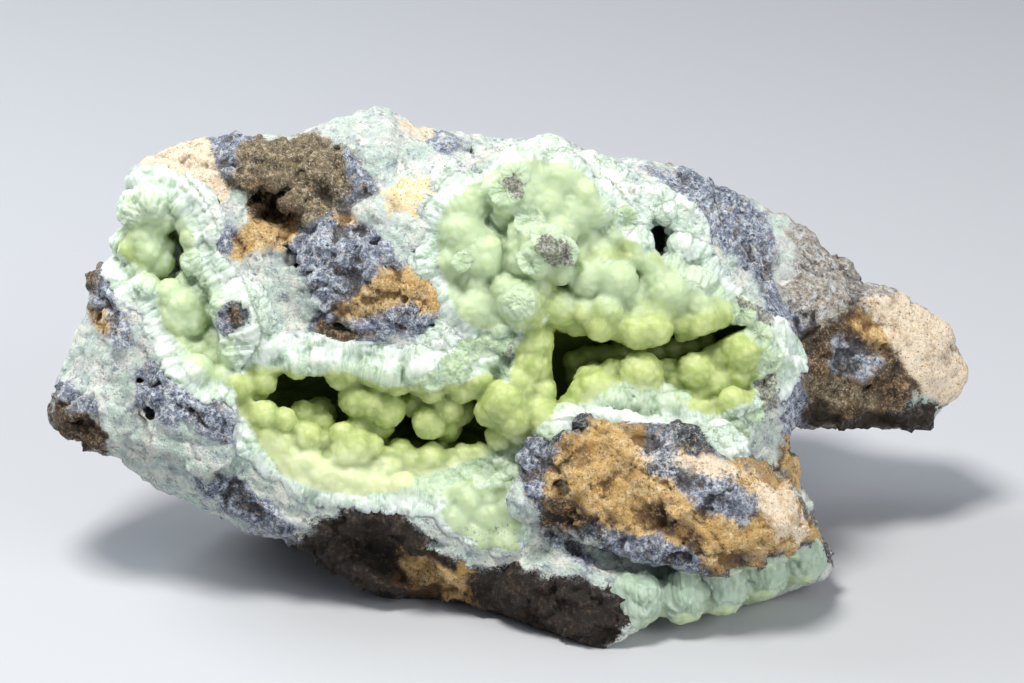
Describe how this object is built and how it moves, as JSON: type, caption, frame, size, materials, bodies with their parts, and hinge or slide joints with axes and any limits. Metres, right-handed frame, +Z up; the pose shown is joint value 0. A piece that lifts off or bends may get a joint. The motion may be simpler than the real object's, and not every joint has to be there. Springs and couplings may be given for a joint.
{
  "type": "wavellite mineral specimen",
  "caption": "Hand specimen of broken brown and grey host rock with an open hollow lined by a crust of green wavellite balls; it rests on its flat underside.",
  "frame": {"origin": "centre of the flat resting face, on the surface that the specimen lies on", "axes": "+Z up from the resting face; +X along the specimen's length, towards the lobe; the hollow opens towards -Y"},
  "size_m": [0.0953, 0.0486, 0.0466],
  "materials": {
    "host_rock": "rough broken rock, ochre to brown with blue-grey rinds",
    "wavellite": "translucent yellow-green balls, pale and fibrous where broken"
  },
  "bodies": {
    "root": {"host_rock": "host_rock", "wavellite_crust": "wavellite", "underside_crust": "wavellite"}
  },
  "joints": []
}
